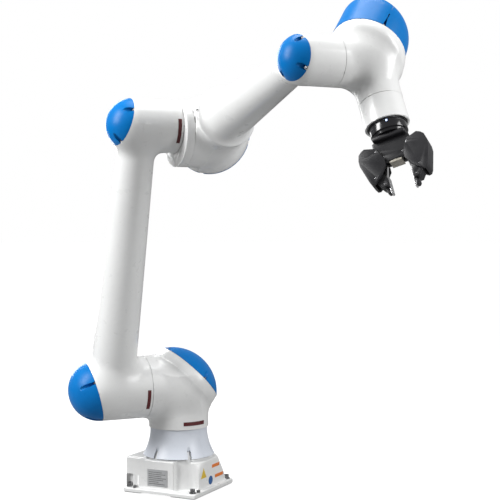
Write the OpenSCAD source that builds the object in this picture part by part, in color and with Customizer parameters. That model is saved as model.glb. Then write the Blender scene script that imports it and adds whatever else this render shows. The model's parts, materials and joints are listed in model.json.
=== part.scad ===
// Six-axis collaborative robot arm with a two-finger parallel gripper.
// Frame: origin at the centre of the mounting face, +Z up, -Y out of the face with the nameplate.

/* [Pose] */
// Turn of the shoulder about the vertical S axis, degrees
s_rest = -38.9; // [-90:0.1:0]
// Lean of the lower arm about the L axis, degrees
l_rest = 18.7; // [0:0.1:30]
// Fold of the elbow about the U axis, degrees
u_rest = -30.1; // [-60:0.1:0]
// Fold of the wrist about the B axis, degrees
b_rest = 75.1; // [30:0.1:100]
// Roll of the gripper about the T axis, degrees
t_rest = 45; // [0:1:90]

/* [Arm] */
// Height of the L axis above the mounting face
shoulder_z = 275; // [270:1:290]
// Length of the lower arm, L axis to U axis
lower_len = 700; // [650:1:800]
// Length of the forearm, U axis to B axis
fore_len = 500; // [450:1:600]
// Distance from the forearm axis to the T axis
wrist_off = 162; // [160:1:170]
// Offset of the lower arm's tube from the S axis
tube_off = 187; // [180:1:195]

/* [Base] */
// Side of the square base plate
base_w = 215; // [210:1:225]
// Thickness of the base plate
plate_t = 13; // [12:1:16]
// Spacing of the four mounting holes
mount_pitch = 156; // [150:1:160]
// Diameter of each mounting hole
mount_d = 14; // [12:0.5:15]

/* [Joints] */
// Radius of the S joint at its seam
s_r = 77; // [76:0.5:78]
// Radius of the L joint at its seam
l_r = 80.5; // [80:0.5:82]
// Radius of the U joint at its seam
u_r = 64.3; // [64:0.1:66]
// Radius of the B joint at its seam
b_r = 53.9; // [53:0.1:55]
// Radius of the T joint at its seam
t_r = 46.5; // [46:0.1:48]

/* [Gripper] */
// Half of the opening between the finger pads
grip_half = 23; // [22.5:0.5:24]
// Length of each gripper link, pivot to pivot
link_lean = 14; // [13.5:0.5:14.5]
// Height of each gripper link, pivot to pivot
link_rise = 56; // [55:0.5:57]

/* [Hidden] */
$fn = 96;
eps = 0.01;
big = 400;
wall = 6.5;
cap_wall = 3;
seam_gap = 1;
skin_gap = 0.4;

white = [0.93, 0.93, 0.92];
cool_white = [0.84, 0.86, 0.90];
blue = [0.0, 0.36, 0.71];
dark_red = [0.35, 0.05, 0.06];
black = [0.06, 0.06, 0.07];
steel = [0.72, 0.73, 0.75];
alloy = [0.78, 0.78, 0.76];
iron = [0.35, 0.36, 0.38];

// Heights and distances of the joint seams from their own axes' crossing points
s_seam_z = 165.5;
l_seam = 99.8;
u_seam = 94.7;
b_seam = 73.2;
r_seam = 91;
t_seam = 96.4;

// Small end caps are cut at this tilt from square
cap_tilt = 16;
l_ball = 219;
u_ball = 203;
l_cut = 227;
u_cut = 220.6;
b_cut = 22.9;

// Big caps: cut angle, distance of the cut, radius of the rim, and the dome behind it
sh_tilt = 45;
sh_cut = 43;
sh_rim_r = 96.5;
sh_dome_r = 118;
sh_dome_back = 68;
sh_first = 5;
el_turn = 50;
el_rim = [-57, 26, 0];
el_rim_r = 101;
el_dome_r = 121;
el_dome_back = 66.6;
el_flange_r = 81;
el_drop = 17;
el_boss_r = 74;
el_first = 20;
wr_turn = 54.6;
wr_rim = [-37.3, 3.9, 0];
wr_rim_r = 83.5;
wr_dome = [-60, 1, 0];
wr_dome_r = 95;
wr_first = 86;

// Radii of the two tubes, thick end and thin end
tube_r1 = 58.75;
tube_r2 = 43.6;
fore_r1 = 61;
fore_r2 = 34;

// Tool end, measured along the T axis from its crossing with the B axis
cover_end = 153.6;
flange_end = 158;
adapter_r = 39.5;
adapter_end = 180;
neck_end = 237;
palm_end = 242;
grip_a = [33, 212];
grip_b = [20, 226];

// ---------- placement ----------
module in_shoulder() rotate([0, 0, s_rest]) translate([0, 0, shoulder_z]) children();
module in_lower() in_shoulder() rotate([0, l_rest, 0]) children();
module in_lower_top() in_lower() translate([0, 0, lower_len]) children();
module in_elbow() in_lower_top() rotate([0, u_rest, 0]) children();
module in_fore_end() in_elbow() translate([fore_len, 0, 0]) children();
module in_wrist() in_fore_end() rotate([0, b_rest, 0]) translate([0, wrist_off, 0]) children();
module in_tool() in_wrist() rotate([t_rest, 0, 0]) children();

module up_to_y() rotate([-90, 0, 0]) children();
module up_to_x() rotate([0, 90, 0]) children();

// ---------- shared shapes ----------
module slab_above(d) translate([-big, -big, d]) cube([2 * big, 2 * big, 2 * big]);
module slab_below(d) translate([-big, -big, d - 2 * big]) cube([2 * big, 2 * big, 2 * big]);

module tube(r_out, r_in, h) {
    difference() {
        cylinder(r = r_out, h = h);
        translate([0, 0, -1]) cylinder(r = r_in, h = h + 2);
    }
}

// Strain-wave reducer: housing ring with the cross-roller bearing, its face at z = 0, growing down
module reducer_ring(r, h) {
    color(steel) translate([0, 0, -h]) difference() {
        union() {
            cylinder(r = r, h = h);
            translate([0, 0, h * 0.55]) cylinder(r = r - 2, h = h * 0.45);
        }
        translate([0, 0, -1]) cylinder(r = r - 18, h = h + 2);
        for (a = [0:45:315]) rotate([0, 0, a]) translate([r - 8, 0, h - 5]) cylinder(d = 5, h = 6);
    }
}

// Frameless motor with its brake and encoder discs, hanging below z = 0
module motor_unit(r, h) {
    color(iron) translate([0, 0, -h]) difference() {
        union() {
            cylinder(r = r * 0.8, h = h);
            translate([0, 0, h * 0.35]) cylinder(r = r, h = h * 0.5);
            cylinder(r = r * 0.9, h = h * 0.2);
        }
        translate([0, 0, -1]) cylinder(r = 11, h = h + 2);
    }
}

// Flange that the reducer turns: a disc above z = 0 and a journal that runs inside the ring
module drive_flange(r, journal_r, depth) {
    color(alloy) difference() {
        union() {
            translate([0, 0, 1.5]) cylinder(r = r, h = 9);
            translate([0, 0, -depth]) cylinder(r = journal_r, h = depth + 2);
        }
        translate([0, 0, -depth - 1]) cylinder(r = 11, h = depth + 20);
        for (a = [0:60:300]) rotate([0, 0, a]) translate([r - 8, 0, 0]) cylinder(d = 5.5, h = 20);
    }
}

module socket_screw(d, head_d, head_h, len) {
    difference() {
        union() {
            cylinder(d = head_d, h = head_h);
            translate([0, 0, -len]) cylinder(d = d, h = len + eps);
        }
        translate([0, 0, head_h * 0.4]) cylinder(d = head_d * 0.55, h = head_h, $fn = 6);
    }
}

// ---------- base ----------
module at_corners(pitch_x, pitch_y) {
    for (sx = [-1, 1]) for (sy = [-1, 1]) translate([sx * pitch_x, sy * pitch_y, 0]) children();
}

base_top = 92;
bolt_x = 94;
bolt_y = 94;
box_x0 = -105;
box_x1 = -54;
side_face = 96;

module plate_outline() {
    h = base_w / 2;
    r = 10;
    union() {
        square([2 * h - 2 * r, 2 * h], center = true);
        square([2 * h, 2 * h - 2 * r], center = true);
        at_corners(h - r, h - r) circle(r = r);
    }
}

module base_casting() color(white) difference() {
    union() {
        linear_extrude(plate_t) plate_outline();
        translate([0, 0, plate_t - eps]) cylinder(r1 = 94, r2 = 88, h = base_top - plate_t);
        // front face that carries the nameplate
        translate([-54, -side_face, plate_t - eps]) cube([94, 70, base_top - plate_t - 4]);
        // side face that carries the label, narrowing upwards
        intersection() {
            translate([20, -60, plate_t - eps]) cube([side_face - 20, 160, base_top - plate_t - 8]);
            translate([0, 0, plate_t - eps]) cylinder(r1 = 132, r2 = 100, h = base_top - plate_t);
        }
        // back-left block that holds the connectors
        translate([box_x0, -side_face, plate_t - eps]) cube([box_x1 - box_x0 + 1, 176, base_top - plate_t]);
        cylinder(r = 84, h = 118);
        translate([0, 0, 117]) cylinder(r = 62, h = 31);
    }
    // hollow for the first joint's motor, open below
    translate([0, 0, -1]) cylinder(r = 54, h = 110);
    translate([0, 0, 108]) cylinder(r = 54, h = 60);
    // relief under the front edge
    translate([-55, -base_w / 2 - 1, -1]) cube([90, 12, 4]);
    // hollow behind the connector plate, with its mouth on the far side
    translate([box_x0 - 1, -60, 24]) cube([44, 110, 58]);
    // four holes for the user's own mounting bolts
    at_corners(mount_pitch / 2, mount_pitch / 2) translate([0, 0, -1]) cylinder(d = mount_d, h = 24);
    at_corners(mount_pitch / 2, mount_pitch / 2) translate([0, 0, plate_t]) cylinder(d = 24, h = 20);
    // clearance for the corner bolts, washers and levelling screws
    at_corners(bolt_x, bolt_y) translate([0, 0, plate_t]) cylinder(d = 21, h = 34);
    at_corners(bolt_x, bolt_y) translate([0, 0, 2]) cylinder(d = 8.4, h = 20);
    for (p = levelling_at) translate([p[0], p[1], plate_t]) cylinder(d = 15, h = 30);
    for (p = levelling_at) translate([p[0], p[1], 2]) cylinder(d = 6.4, h = 20);
}

levelling_at = [[-74, -102], [102, -78], [74, 102], [-102, 78]];

module neck_profile() {
    polygon([
        [62.5, 118.4], [62.5, 164.8], [76, 164.8], [75.5, 155], [77, 145], [80, 132],
        [86.5, 115], [94.5, 96], [94.5, 92.4], [84.4, 92.4], [84.4, 118.4]]);
}

module neck_half(turn) color(cool_white) difference() {
    rotate_extrude() neck_profile();
    rotate([0, 0, turn]) translate([-0.2, -big, 0]) cube([big, 2 * big, big]);
    // pockets over the neck's fixing screws
    for (a = [18:60:320]) rotate([0, 0, a]) translate([91, -3.5, 89]) rotate([0, -17, 0]) cube([12, 7, 26]);
}

neck_turn = 74;
module neck_cover_front() neck_half(neck_turn + 90);
module neck_cover_rear() neck_half(neck_turn - 90);

module connector_plate() color(alloy) translate([box_x0 - 3, -56, 28]) difference() {
    cube([2.8, 102, 50]);
    for (y = [20, 52, 82]) translate([-1, y, 25]) up_to_x() cylinder(d = y == 52 ? 26 : 18, h = 8);
}

module panel_connectors() color(iron) for (y = [20, 52, 82])
    translate([box_x0 - 9, -56 + y, 53]) up_to_x() difference() {
        cylinder(d = (y == 52 ? 26 : 18) - 0.4, h = 24);
        translate([0, 0, -1]) cylinder(d = (y == 52 ? 26 : 18) - 6, h = 10);
    }

module nameplate() color(alloy) translate([-39, -side_face - 1, 21]) cube([60, 0.9, 44]);

// Corner bolts with their washers, and the smaller levelling screw beside each
module corner_bolts() color(steel) {
    at_corners(bolt_x, bolt_y) {
        translate([0, 0, plate_t + 3.2]) socket_screw(8, 13, 8, plate_t - 4);
        translate([0, 0, plate_t + 0.1]) tube(9, 4.3, 3);
    }
    for (p = levelling_at) translate([p[0], p[1], plate_t + 0.2]) socket_screw(6, 10, 6, plate_t - 5);
}

module s_reducer() translate([0, 0, s_seam_z - 2]) reducer_ring(53.8, 24);
module s_motor() translate([0, 0, s_seam_z - 27]) motor_unit(48, 84);

// ---------- shoulder ----------
module sh_cut_frame() rotate([-sh_tilt, 0, 0]) translate([0, 0, sh_cut]) children();

// Cap screws stand on the casting's rim, each in a notch that runs up through the cap's skin
screw_inset = 5;
module on_round_rim(r, first) {
    for (a = [first:90:first + 270]) rotate([0, 0, a]) translate([r - screw_inset, 0, 0]) children();
}
module rim_screw() translate([0, 0, 1]) socket_screw(3, 6, 3, 9);
module rim_screw_hole() translate([0, 0, -9]) cylinder(d = 3.4, h = 10);
module rim_notch() translate([0, 0, -1]) cylinder(d = 10.6, h = 60);

module shoulder_outer() {
    sphere(r = 92);
    translate([0, 0, s_seam_z + seam_gap / 2 - shoulder_z]) cylinder(r = s_r + 2, h = 80);
    translate([0, -l_seam + seam_gap / 2, 0]) up_to_y() cylinder(r = l_r + 0.8, h = 80);
    sh_cut_frame() translate([0, 0, -48]) cylinder(r1 = 74, r2 = sh_rim_r, h = 48);
}

module shoulder_casting() color(white) in_shoulder() difference() {
    shoulder_outer();
    sh_cut_frame() slab_above(0);
    translate([0, 0, -140]) cylinder(r = 66, h = 140);
    translate([0, -130, 0]) up_to_y() cylinder(r = 72, h = 130);
    sphere(r = 84);
    sh_cut_frame() translate([0, 0, -14]) cylinder(r = sh_rim_r - 9, h = 40);
    sh_cut_frame() on_round_rim(sh_rim_r, sh_first) rim_screw_hole();
}

module shoulder_cap() color(blue) in_shoulder() sh_cut_frame() difference() {
    translate([0, 0, -sh_dome_back]) sphere(r = sh_dome_r);
    translate([0, 0, -sh_dome_back]) sphere(r = sh_dome_r - cap_wall);
    slab_below(skin_gap);
    on_round_rim(sh_rim_r, sh_first) rim_notch();
}

module shoulder_cap_screws() color(steel) in_shoulder() sh_cut_frame()
    on_round_rim(sh_rim_r, sh_first) rim_screw();

module shoulder_stripe() color(dark_red) rotate([0, 0, s_rest]) difference() {
    translate([0, 0, 172.5]) tube(s_r + 2.6, s_r + 2.1, 10);
    for (a = [-74, 146]) rotate([0, 0, a]) translate([-big, 0, 0]) cube([2 * big, big, big]);
}

module s_output() rotate([0, 0, s_rest]) translate([0, 0, s_seam_z]) drive_flange(65.8, 35.75, 22);
module l_reducer() in_shoulder() translate([0, -l_seam + 2, 0]) rotate([90, 0, 0]) reducer_ring(71.8, 26);
module l_motor() in_shoulder() translate([0, -l_seam + 30, 0]) rotate([90, 0, 0]) motor_unit(58, 92);

// ---------- lower arm ----------
// Frames whose z = 0 is the slanted rim of an end cap, centred on the rim
small_first = 45;
module l_cut_frame() rotate([90 + cap_tilt, 0, 0]) translate([0, l_cut * tan(cap_tilt), l_cut]) children();
module u_cut_frame() rotate([90 - cap_tilt, 0, 0]) translate([0, -u_cut * tan(cap_tilt), u_cut]) children();

// A slanting plane cuts a ball in a circle: its radius, and its shift off the joint's axis
function rim_drop(cut, ball) = cut / cos(cap_tilt) - ball;
function rim_shift(cut, ball) = rim_drop(cut, ball) * sin(cap_tilt);
function rim_radius(r, cut, ball) = sqrt(r * r - pow(rim_drop(cut, ball) * cos(cap_tilt), 2));
module on_l_rim() l_cut_frame() translate([0, -rim_shift(l_cut, l_ball), 0])
    on_round_rim(rim_radius(l_r, l_cut, l_ball), small_first) children();
module on_u_rim() u_cut_frame() translate([0, rim_shift(u_cut, u_ball), 0])
    on_round_rim(rim_radius(u_r, u_cut, u_ball), small_first) children();
module on_b_rim() b_cut_frame() translate([0, -rim_shift(b_cut, 0), 0])
    on_round_rim(rim_radius(b_r, b_cut, 0), small_first) children();

module capsule_end(r, from_y, ball_y) {
    translate([0, -ball_y, 0]) up_to_y() cylinder(r = r, h = ball_y - from_y);
    translate([0, -ball_y, 0]) sphere(r = r);
}

module lower_arm_casting() color(white) in_lower() difference() {
    union() {
        capsule_end(l_r, l_seam + seam_gap / 2, l_ball);
        translate([0, 0, lower_len]) capsule_end(u_r, u_seam + seam_gap / 2, u_ball);
        translate([0, -tube_off, 0]) cylinder(r1 = tube_r1, r2 = tube_r2, h = lower_len);
    }
    l_cut_frame() slab_above(0);
    translate([0, 0, lower_len]) u_cut_frame() slab_above(0);
    capsule_end(l_r - wall - 1.5, l_seam - 20, l_ball);
    translate([0, 0, lower_len]) capsule_end(u_r - wall - 1.5, u_seam - 20, u_ball);
    translate([0, -tube_off, 0]) cylinder(r1 = tube_r1 - wall, r2 = tube_r2 - wall, h = lower_len);
    on_l_rim() rim_screw_hole();
    translate([0, 0, lower_len]) on_u_rim() rim_screw_hole();
}

module cap_skin(r, ball_y, tilt) {
    difference() {
        translate([0, -ball_y, 0]) rotate([90 + tilt, 0, 0]) sphere(r = r);
        translate([0, -ball_y, 0]) rotate([90 + tilt, 0, 0]) sphere(r = r - cap_wall);
        children();
    }
}

module l_end_cap() color(blue) in_lower() cap_skin(l_r - 0.2, l_ball, cap_tilt) {
    l_cut_frame() slab_below(skin_gap);
    on_l_rim() rim_notch();
}

module u_end_cap() color(blue) in_lower_top() cap_skin(u_r - 0.1, u_ball, -cap_tilt) {
    u_cut_frame() slab_below(skin_gap);
    on_u_rim() rim_notch();
}

module lower_arm_cap_screws() color(steel) {
    in_lower() on_l_rim() rim_screw();
    in_lower_top() on_u_rim() rim_screw();
}

module stripe(r, h, a0, a1) {
    difference() {
        tube(r + 0.6, r + 0.1, h);
        rotate([0, 0, a0]) translate([-big, -big, -1]) cube([2 * big, big, big]);
        rotate([0, 0, a1]) translate([-big, 0, -1]) cube([2 * big, big, big]);
    }
}

module lower_arm_stripes() color(dark_red) in_lower() {
    translate([0, -l_seam - 6, 0]) rotate([90, 0, 0]) stripe(l_r, 8, -28, 4);
    translate([0, -u_seam - 6, lower_len]) rotate([90, 0, 0]) stripe(u_r, 8, -24, 30);
}

module l_output() in_lower() translate([0, -l_seam, 0]) rotate([90, 0, 0]) drive_flange(72.3, 53.75, 24);
module u_fixed_flange() in_lower_top() translate([0, -u_seam, 0]) rotate([90, 0, 0])
    drive_flange(56.1, 37.75, 22);

module lower_arm_harness() color(black) in_lower() translate([0, -tube_off, 60])
    for (a = [0:120:240]) rotate([0, 0, a]) translate([6.5, 0, 0]) cylinder(d = 11, h = lower_len - 130);

// ---------- elbow ----------
module el_cut_frame() translate(el_rim) rotate([0, 0, el_turn]) rotate([-90, 0, 0]) children();

module elbow_outer() {
    translate([0, -u_seam + 22, -el_drop]) up_to_y() cylinder(r = el_flange_r, h = 80);
    translate([-20, 0, 0]) sphere(r = 84);
    translate([-30, 0, 0]) up_to_x() cylinder(r = el_boss_r, h = 30 + r_seam - seam_gap / 2);
    el_cut_frame() translate([0, 0, -52]) cylinder(r1 = 80, r2 = el_rim_r, h = 52);
}

module elbow_casting() color(white) in_elbow() difference() {
    elbow_outer();
    el_cut_frame() slab_above(0);
    translate([-big, -u_seam + 22 - 2 * big, -big]) cube([2 * big, 2 * big, 2 * big]);
    translate([0, -120, 0]) up_to_y() cylinder(r = 56, h = 130);
    translate([-60, 0, 0]) up_to_x() cylinder(r = 58, h = 200);
    translate([-20, 0, 0]) sphere(r = 76);
    el_cut_frame() translate([0, 0, -14]) cylinder(r = el_rim_r - 9, h = 40);
    el_cut_frame() on_round_rim(el_rim_r, el_first) rim_screw_hole();
}

module elbow_flange_ring() color(white) in_elbow() difference() {
    translate([0, -u_seam + seam_gap / 2, -el_drop]) up_to_y() cylinder(r = el_flange_r, h = 21);
    translate([0, -120, 0]) up_to_y() cylinder(r = 56, h = 130);
    for (a = [230, 262, 294]) translate([0, -u_seam - 1, -el_drop]) rotate([0, 90 - a, 0])
        translate([el_flange_r - 9, 0, 0]) up_to_y() cylinder(d = 9, h = 10);
}

module elbow_cap() color(blue) in_elbow() el_cut_frame() difference() {
    translate([0, 0, -el_dome_back]) sphere(r = el_dome_r);
    translate([0, 0, -el_dome_back]) sphere(r = el_dome_r - cap_wall);
    slab_below(skin_gap);
    on_round_rim(el_rim_r, el_first) rim_notch();
}

module elbow_screws() color(steel) in_elbow() {
    el_cut_frame() on_round_rim(el_rim_r, el_first) rim_screw();
    for (a = [230, 262, 294]) translate([0, -u_seam + 9, -el_drop]) rotate([0, 90 - a, 0])
        translate([el_flange_r - 9, 0, 0]) rotate([90, 0, 0]) cylinder(d = 8.6, h = 6);
}

module u_reducer() in_elbow() translate([0, -u_seam + 2, 0]) rotate([90, 0, 0]) reducer_ring(55.8, 24);
module u_motor() in_elbow() translate([0, -u_seam + 28, 0]) rotate([90, 0, 0]) motor_unit(36, 66);
module r_reducer() in_elbow() translate([r_seam - 2, 0, 0]) up_to_x() reducer_ring(57.8, 22);
module r_motor() in_elbow() translate([r_seam - 26, 0, 0]) up_to_x() motor_unit(40, 27);

// ---------- forearm ----------
module b_cut_frame() rotate([0, 0, cap_tilt]) rotate([90, 0, 0]) rotate([0, 0, 90])
    translate([0, b_cut * tan(cap_tilt), b_cut]) children();

module fore_end_body(r) {
    up_to_y() cylinder(r = r, h = b_seam - seam_gap / 2);
    sphere(r = r);
}

module forearm_casting() color(white) in_elbow() difference() {
    union() {
        translate([r_seam + seam_gap / 2, 0, 0]) up_to_x() cylinder(r = el_boss_r - 0.5, h = 12);
        translate([r_seam + 12, 0, 0]) up_to_x()
            cylinder(r1 = fore_r1, r2 = fore_r2, h = fore_len - r_seam - 12);
        translate([fore_len, 0, 0]) fore_end_body(b_r);
    }
    translate([fore_len, 0, 0]) b_cut_frame() slab_above(0);
    translate([fore_len, 0, 0]) on_b_rim() rim_screw_hole();
    translate([r_seam, 0, 0]) up_to_x() cylinder(r = 56, h = 18);
    translate([r_seam + 8, 0, 0]) up_to_x() cylinder(r1 = 54, r2 = fore_r2 - 5, h = fore_len - r_seam);
    translate([fore_len, 0, 0]) sphere(r = b_r - wall);
    translate([fore_len, 0, 0]) up_to_y() cylinder(r = b_r - wall, h = 120);
}

module b_end_cap() color(blue) in_fore_end() difference() {
    sphere(r = b_r - 0.1);
    sphere(r = b_r - cap_wall);
    b_cut_frame() slab_below(skin_gap);
    on_b_rim() rim_notch();
}

module forearm_cap_screws() color(steel) in_fore_end() on_b_rim() rim_screw();

module r_output() in_elbow() translate([r_seam, 0, 0]) up_to_x() drive_flange(55.8, 39.75, 20);
module b_fixed_flange() in_fore_end() translate([0, b_seam, 0]) rotate([90, 0, 0])
    drive_flange(47.2, 29.15, 20);

module forearm_harness() color(black) in_elbow() translate([r_seam + 20, 0, 0]) up_to_x()
    for (a = [0:120:240]) rotate([0, 0, a]) translate([5.5, 0, 0])
        cylinder(d = 9, h = fore_len - r_seam - 80);

// ---------- wrist ----------
wrist_seam = wrist_off - b_seam;
module wr_cut_frame() translate(wr_rim) rotate([0, 0, wr_turn]) rotate([-90, 0, 0]) children();

module wrist_outer() {
    translate([0, -wrist_seam + seam_gap / 2, 0]) up_to_y() cylinder(r = b_r, h = wrist_seam);
    translate([-40, 0, 0]) up_to_x() cylinder(r = t_r + 0.5, h = 40 + t_seam - seam_gap / 2);
    translate([-20, -2, 0]) sphere(r = 72);
    wr_cut_frame() translate([0, 0, -40]) cylinder(r1 = 64, r2 = wr_rim_r, h = 40);
}

module wrist_casting() color(white) in_wrist() difference() {
    wrist_outer();
    wr_cut_frame() slab_above(0);
    translate([0, -130, 0]) up_to_y() cylinder(r = b_r - wall, h = 130);
    translate([0, 0, 0]) up_to_x() cylinder(r = t_r - wall, h = 130);
    translate([-20, -2, 0]) sphere(r = 66);
    wr_cut_frame() translate([0, 0, -10]) cylinder(r = wr_rim_r - 9, h = 40);
    wr_cut_frame() on_round_rim(wr_rim_r, wr_first) rim_screw_hole();
}

module wrist_hood() color(blue) in_wrist() difference() {
    translate(wr_dome) rotate([0, -90, 0]) sphere(r = wr_dome_r);
    translate(wr_dome) rotate([0, -90, 0]) sphere(r = wr_dome_r - cap_wall);
    wr_cut_frame() tube(2 * wr_rim_r, wr_rim_r, 2 * wr_rim_r);
    wr_cut_frame() slab_below(skin_gap);
    wr_cut_frame() on_round_rim(wr_rim_r, wr_first) rim_notch();
}

module wrist_hood_screws() color(steel) in_wrist() wr_cut_frame()
    on_round_rim(wr_rim_r, wr_first) rim_screw();

module b_reducer() in_wrist() translate([0, -wrist_seam + 2, 0]) rotate([90, 0, 0]) reducer_ring(47.2, 20);
module b_motor() in_wrist() translate([-10, -wrist_seam + 26, 0]) rotate([90, 0, 0]) motor_unit(30, 56);
module t_reducer() in_wrist() translate([t_seam - 2, 0, 0]) up_to_x() reducer_ring(39.8, 20);
module t_motor() in_wrist() translate([t_seam - 24, 0, 0]) up_to_x() motor_unit(28, 30);

// ---------- tool ----------
module t_cover() color(white) in_tool() difference() {
    translate([t_seam + seam_gap / 2, 0, 0]) up_to_x()
        cylinder(r1 = t_r, r2 = t_r + 0.8, h = cover_end - t_seam - seam_gap / 2);
    translate([t_seam + 10, 0, 0]) up_to_x() cylinder(r = t_r - 3.5, h = 80);
    translate([t_seam - 1, 0, 0]) up_to_x() cylinder(r = 22, h = 30);
}

// Standard flange: four threaded holes on a 50 mm circle round a 31.5 mm pilot
module tool_flange() color(alloy) in_tool() translate([t_seam + 12, 0, 0]) up_to_x() difference() {
    union() {
        cylinder(r = 34, h = flange_end - t_seam - 20);
        translate([0, 0, flange_end - t_seam - 21]) cylinder(r = 31.5, h = 9);
        translate([0, 0, -32]) cylinder(r = 21.75, h = 33);
    }
    translate([0, 0, -40]) cylinder(r = 10, h = 100);
    for (a = [45:90:315]) rotate([0, 0, a]) translate([25, 0, 20]) cylinder(d = 6, h = 60);
}

// Small round lamp set in the adapter's side
light_d = 4;
light_at = 159.5;
module at_light() rotate([-10, 0, 0]) translate([light_at, 0, adapter_r]) children();
module status_light() color([0.75, 0.82, 1]) in_tool() at_light() translate([0, 0, -3])
    cylinder(d = light_d, h = 3.6);

// Adapter between the standard flange and the gripper, with a skirt over the flange's pilot
module gripper_adapter() color(black) in_tool() difference() {
    union() {
        translate([cover_end + 0.5, 0, 0]) up_to_x() cylinder(r = adapter_r, h = 21);
        translate([cover_end + 21, 0, 0]) up_to_x() cylinder(r = 35, h = adapter_end - cover_end - 21.1);
    }
    translate([cover_end - 1, 0, 0]) up_to_x() cylinder(r = 31.8, h = flange_end - cover_end + 1.1);
    translate([flange_end - 1, 0, 0]) up_to_x() cylinder(r = 10, h = 10);
    at_light() translate([0, 0, -3.1]) cylinder(d = light_d + 0.2, h = 10);
}

// Body of the gripper: a block with ears for the four link pivots, slotted for the inner links
module gripper_body() color(black) in_tool() difference() {
    union() {
        translate([adapter_end, -35, -28]) cube([10, 70, 56]);
        translate([adapter_end + 9, -39, -16.5]) cube([32, 78, 33]);
        translate([adapter_end + 9, -27, -16.5]) cube([neck_end - adapter_end - 9, 54, 33]);
    }
    for (s = [-1, 1]) mirrored(s) {
        translate([grip_a[1], grip_a[0], -30]) cylinder(d = 6.1, h = 60);
        translate([grip_b[1], grip_b[0], -30]) cylinder(d = 6.1, h = 60);
        translate([grip_b[1] - 5.5, 14.4, -6.4]) cube([30, 15.6, 12.8]);
    }
}

module palm_plate() color([0.78, 0.74, 0.66]) in_tool() difference() {
    translate([neck_end + 0.1, -13.5, -15]) cube([palm_end - neck_end, 27, 30]);
    for (z = [-9, 9]) translate([palm_end - 3, 0, z]) up_to_x() cylinder(d = 5, h = 10);
}

// Outer link with its cover: two cheeks and an outer wall, pivoting at grip_a
module knuckle_outline() {
    polygon([[198, 56], [208, 70], [232, 73], [272, 62], [280, 52], [270, 38], [246, 21], [226, 23],
        [205, 34]]);
}

module knuckle_hollow() {
    polygon([[180, 0], [180, 38], [196, 48], [211, 65], [231, 67.5], [300, 48.5], [300, 0]]);
}

module mirrored(s) mirror([0, s < 0 ? 1 : 0, 0]) children();

module knuckle(s) color(black) in_tool() mirrored(s) difference() {
    translate([0, 0, -24]) linear_extrude(48) knuckle_outline();
    translate([0, 0, -17]) linear_extrude(34) knuckle_hollow();
    translate([grip_a[1], grip_a[0], -30]) cylinder(d = 6.1, h = 60);
    translate([finger_c[1], finger_c[0], -30]) cylinder(d = 5.1, h = 60);
}

module left_knuckle() knuckle(-1);
module right_knuckle() knuckle(1);

// Inner link of the parallelogram, from grip_b to the finger
link_len = sqrt(link_lean * link_lean + link_rise * link_rise);
link_w = 6;
link_end_r = 3.7;
module inner_link(s) color(steel) in_tool() mirrored(s)
    translate([grip_b[1], grip_b[0], -6]) rotate([0, 0, atan2(link_lean, link_rise)]) difference() {
        union() {
            translate([0, -link_w / 2, 0]) cube([link_len, link_w, 12]);
            cylinder(r = 4.9, h = 12);
            translate([link_len, 0, 0]) cylinder(r = link_end_r, h = 12);
        }
        translate([0, 0, -1]) cylinder(d = 6.1, h = 14);
        translate([link_len, 0, -1]) cylinder(d = 5, h = 14);
    }

module left_link() inner_link(-1);
module right_link() inner_link(1);

// Finger: a clevis on the two lower pivots, with a blade; its two pins are solids of their own
finger_c = [grip_a[0] + link_lean, grip_a[1] + link_rise];
finger_d = [grip_b[0] + link_lean, grip_b[1] + link_rise];
pad_t = 4;
pad_from = 268.2;
tip_x = 303;
blade_in = grip_half + pad_t + 0.1;
module finger(s) in_tool() mirrored(s) {
    color(black) difference() {
        union() {
            translate([0, 0, -16.4]) linear_extrude(32.8) polygon([
                [257, 42], [257, 53], [272, 52], [289, 40], [289, blade_in], [266, blade_in]]);
            translate([262, blade_in, -8]) cube([tip_x - 262, 8, 16]);
        }
        translate([0, 0, -6.4]) linear_extrude(12.8) polygon([
            [240, 10], [240, 47], [264, 42.5], [287, 39.5], [287, 10]]);
        translate([finger_c[1], finger_c[0], -30]) cylinder(d = 5.1, h = 60);
        translate([finger_d[1], finger_d[0], -30]) cylinder(d = 4.3, h = 60);
    }
    color(steel) translate([finger_c[1], finger_c[0], -24]) cylinder(d = 5, h = 48);
    color(steel) translate([finger_d[1], finger_d[0], -16]) cylinder(d = 4.2, h = 32);
}

module left_finger() finger(-1);
module right_finger() finger(1);

module pad(s) color(steel) in_tool() mirrored(s)
    translate([pad_from, grip_half, -8]) cube([tip_x + 1.5 - pad_from, pad_t, 16]);

module left_pad() pad(-1);
module right_pad() pad(1);

// Pins on the gripper's body: two for the knuckles, two for the inner links
module gripper_pins() color(steel) in_tool() for (s = [-1, 1]) {
    translate([grip_a[1], s * grip_a[0], -24]) cylinder(d = 6, h = 48);
    translate([grip_b[1], s * grip_b[0], -16.6]) cylinder(d = 6, h = 33.2);
}

base_casting();
neck_cover_front();
neck_cover_rear();
connector_plate();
panel_connectors();
nameplate();
corner_bolts();
s_reducer();
s_motor();
shoulder_casting();
shoulder_cap();
shoulder_cap_screws();
shoulder_stripe();
s_output();
l_reducer();
l_motor();
lower_arm_casting();
l_end_cap();
u_end_cap();
lower_arm_cap_screws();
lower_arm_stripes();
l_output();
u_fixed_flange();
lower_arm_harness();
elbow_casting();
elbow_flange_ring();
elbow_cap();
elbow_screws();
u_reducer();
u_motor();
r_reducer();
r_motor();
forearm_casting();
b_end_cap();
forearm_cap_screws();
r_output();
b_fixed_flange();
forearm_harness();
wrist_casting();
wrist_hood();
wrist_hood_screws();
b_reducer();
b_motor();
t_reducer();
t_motor();
t_cover();
tool_flange();
status_light();
gripper_adapter();
gripper_body();
palm_plate();
gripper_pins();
left_knuckle();
right_knuckle();
left_link();
right_link();
left_finger();
right_finger();
left_pad();
right_pad();
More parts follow.
